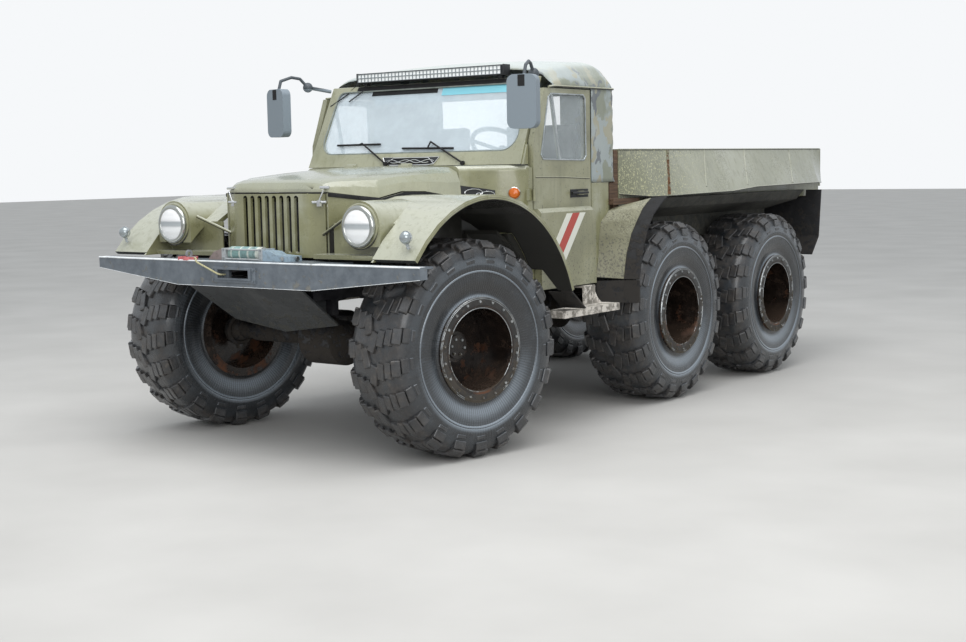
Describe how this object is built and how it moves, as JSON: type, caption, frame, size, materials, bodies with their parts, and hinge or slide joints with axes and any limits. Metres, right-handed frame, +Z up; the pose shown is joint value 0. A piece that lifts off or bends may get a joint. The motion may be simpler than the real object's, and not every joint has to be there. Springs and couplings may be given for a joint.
{
  "type": "off-road 6x6 pickup truck",
  "caption": "High-riding off-road pickup on balloon tyres, soft-topped cab, open load bed; wheels, steering, doors, bonnet and tailgate move.",
  "frame": {"origin": "on the ground at the centre of the whole vehicle's outline", "axes": "+Z up, nose towards -Y, driver's side +X"},
  "size_m": [2.3168, 5.2315, 2.078],
  "materials": {
    "tyre_rubber": "dull, muddy",
    "rim_paint": "dark brown paint with rust",
    "chassis_steel": "muddy black paint",
    "worn_steel": "worn grey paint",
    "glass": "clear",
    "canvas": "woven camouflage canvas",
    "seat_cloth": "woven",
    "black_plastic": "grained",
    "rubber_sheet": "dull",
    "rope": "braided synthetic rope",
    "hook_paint": "faded red paint",
    "amber_lens": "amber lens",
    "lamp": "bright",
    "body_paint": "faded olive paint"
  },
  "bodies": {
    "chassis": {"bed_frame": "chassis_steel", "bumper": "worn_steel", "cab_floor": "body_paint", "cab_rear": "body_paint", "cargo_bed": "body_paint", "cowl": "body_paint", "driveshafts": "chassis_steel", "engine": "chassis_steel", "frame": "chassis_steel", "front_axle": "chassis_steel", "front_fenders": "body_paint", "gear_levers": "black_plastic", "grille": "body_paint", "headlamps": "lamp", "light_bar": "black_plastic", "mirrors": "black_plastic", "mud_flaps": "rubber_sheet", "position_lamps": "lamp", "rear_axles": "chassis_steel", "rear_fenders": "body_paint", "seat_boxes": "chassis_steel", "seats": "seat_cloth", "skid_plate": "worn_steel", "soft_top": "canvas", "springs": "chassis_steel", "steering_wheel": "black_plastic", "steps": "worn_steel", "sun_visor": "black_plastic", "tail_lamps": "lamp", "turn_lamps": "amber_lens", "wheel_wells": "chassis_steel", "winch": "worn_steel", "winch_hook": "hook_paint", "winch_rope": "rope", "windscreen_frame": "body_paint", "windscreen_glass": "glass", "wipers": "black_plastic"},
    "door_left": {"door_left": "body_paint", "door_glass_left": "glass"},
    "door_right": {"door_right": "body_paint", "door_glass_right": "glass"},
    "bonnet": {"bonnet": "body_paint"},
    "tailgate": {"tailgate": "body_paint"},
    "knuckle_left": {"knuckle_left": "chassis_steel"},
    "knuckle_right": {"knuckle_right": "chassis_steel"},
    "wheel_front_left": {"tyre_front_left": "tyre_rubber", "rim_front_left": "rim_paint"},
    "wheel_front_right": {"tyre_front_right": "tyre_rubber", "rim_front_right": "rim_paint"},
    "wheel_mid_left": {"tyre_mid_left": "tyre_rubber", "rim_mid_left": "rim_paint"},
    "wheel_mid_right": {"tyre_mid_right": "tyre_rubber", "rim_mid_right": "rim_paint"},
    "wheel_rear_left": {"tyre_rear_left": "tyre_rubber", "rim_rear_left": "rim_paint"},
    "wheel_rear_right": {"tyre_rear_right": "tyre_rubber", "rim_rear_right": "rim_paint"}
  },
  "joints": [
    {"name": "spin_front_left", "type": "hinge", "parent": "knuckle_left", "child": "wheel_front_left", "pos_m": [0.86193, -1.972, 0.55], "axis": [0.9799, -0.1994, 0], "continuous": true},
    {"name": "spin_front_right", "type": "hinge", "parent": "knuckle_right", "child": "wheel_front_right", "pos_m": [-0.86193, -1.911, 0.55], "axis": [0.9799, -0.1994, 0], "continuous": true},
    {"name": "spin_mid_left", "type": "hinge", "parent": "chassis", "child": "wheel_mid_left", "pos_m": [0.8, 0.1385, 0.55], "axis": [1, 0, 0], "continuous": true},
    {"name": "spin_mid_right", "type": "hinge", "parent": "chassis", "child": "wheel_mid_right", "pos_m": [-0.8, 0.1385, 0.55], "axis": [1, 0, 0], "continuous": true},
    {"name": "spin_rear_left", "type": "hinge", "parent": "chassis", "child": "wheel_rear_left", "pos_m": [0.8, 1.4685, 0.55], "axis": [1, 0, 0], "continuous": true},
    {"name": "spin_rear_right", "type": "hinge", "parent": "chassis", "child": "wheel_rear_right", "pos_m": [-0.8, 1.4685, 0.55], "axis": [1, 0, 0], "continuous": true},
    {"name": "steer_left", "type": "hinge", "parent": "chassis", "child": "knuckle_left", "pos_m": [0.712, -1.9415, 0.55], "axis": [0, 0, 1], "range_deg": [-13.5, 36.5]},
    {"name": "steer_right", "type": "hinge", "parent": "chassis", "child": "knuckle_right", "pos_m": [-0.712, -1.9415, 0.55], "axis": [0, 0, 1], "range_deg": [-13.5, 36.5]},
    {"name": "door_left_hinge", "type": "hinge", "parent": "chassis", "child": "door_left", "pos_m": [0.835, -1.2015, 1.1], "axis": [0, 0, -1], "range_deg": [0, 60]},
    {"name": "door_right_hinge", "type": "hinge", "parent": "chassis", "child": "door_right", "pos_m": [-0.835, -1.2015, 1.1], "axis": [0, 0, 1], "range_deg": [0, 60]},
    {"name": "bonnet_hinge", "type": "hinge", "parent": "chassis", "child": "bonnet", "pos_m": [0, -1.5175, 1.472], "axis": [-1, 0, 0], "range_deg": [0, 50]},
    {"name": "tailgate_hinge", "type": "hinge", "parent": "chassis", "child": "tailgate", "pos_m": [0, 2.5945, 1.262], "axis": [-1, 0, 0], "range_deg": [0, 90]}
  ],
  "couplings": [
    {"joint": "steer_right", "follows": "steer_left", "ratio": 1}
  ]
}
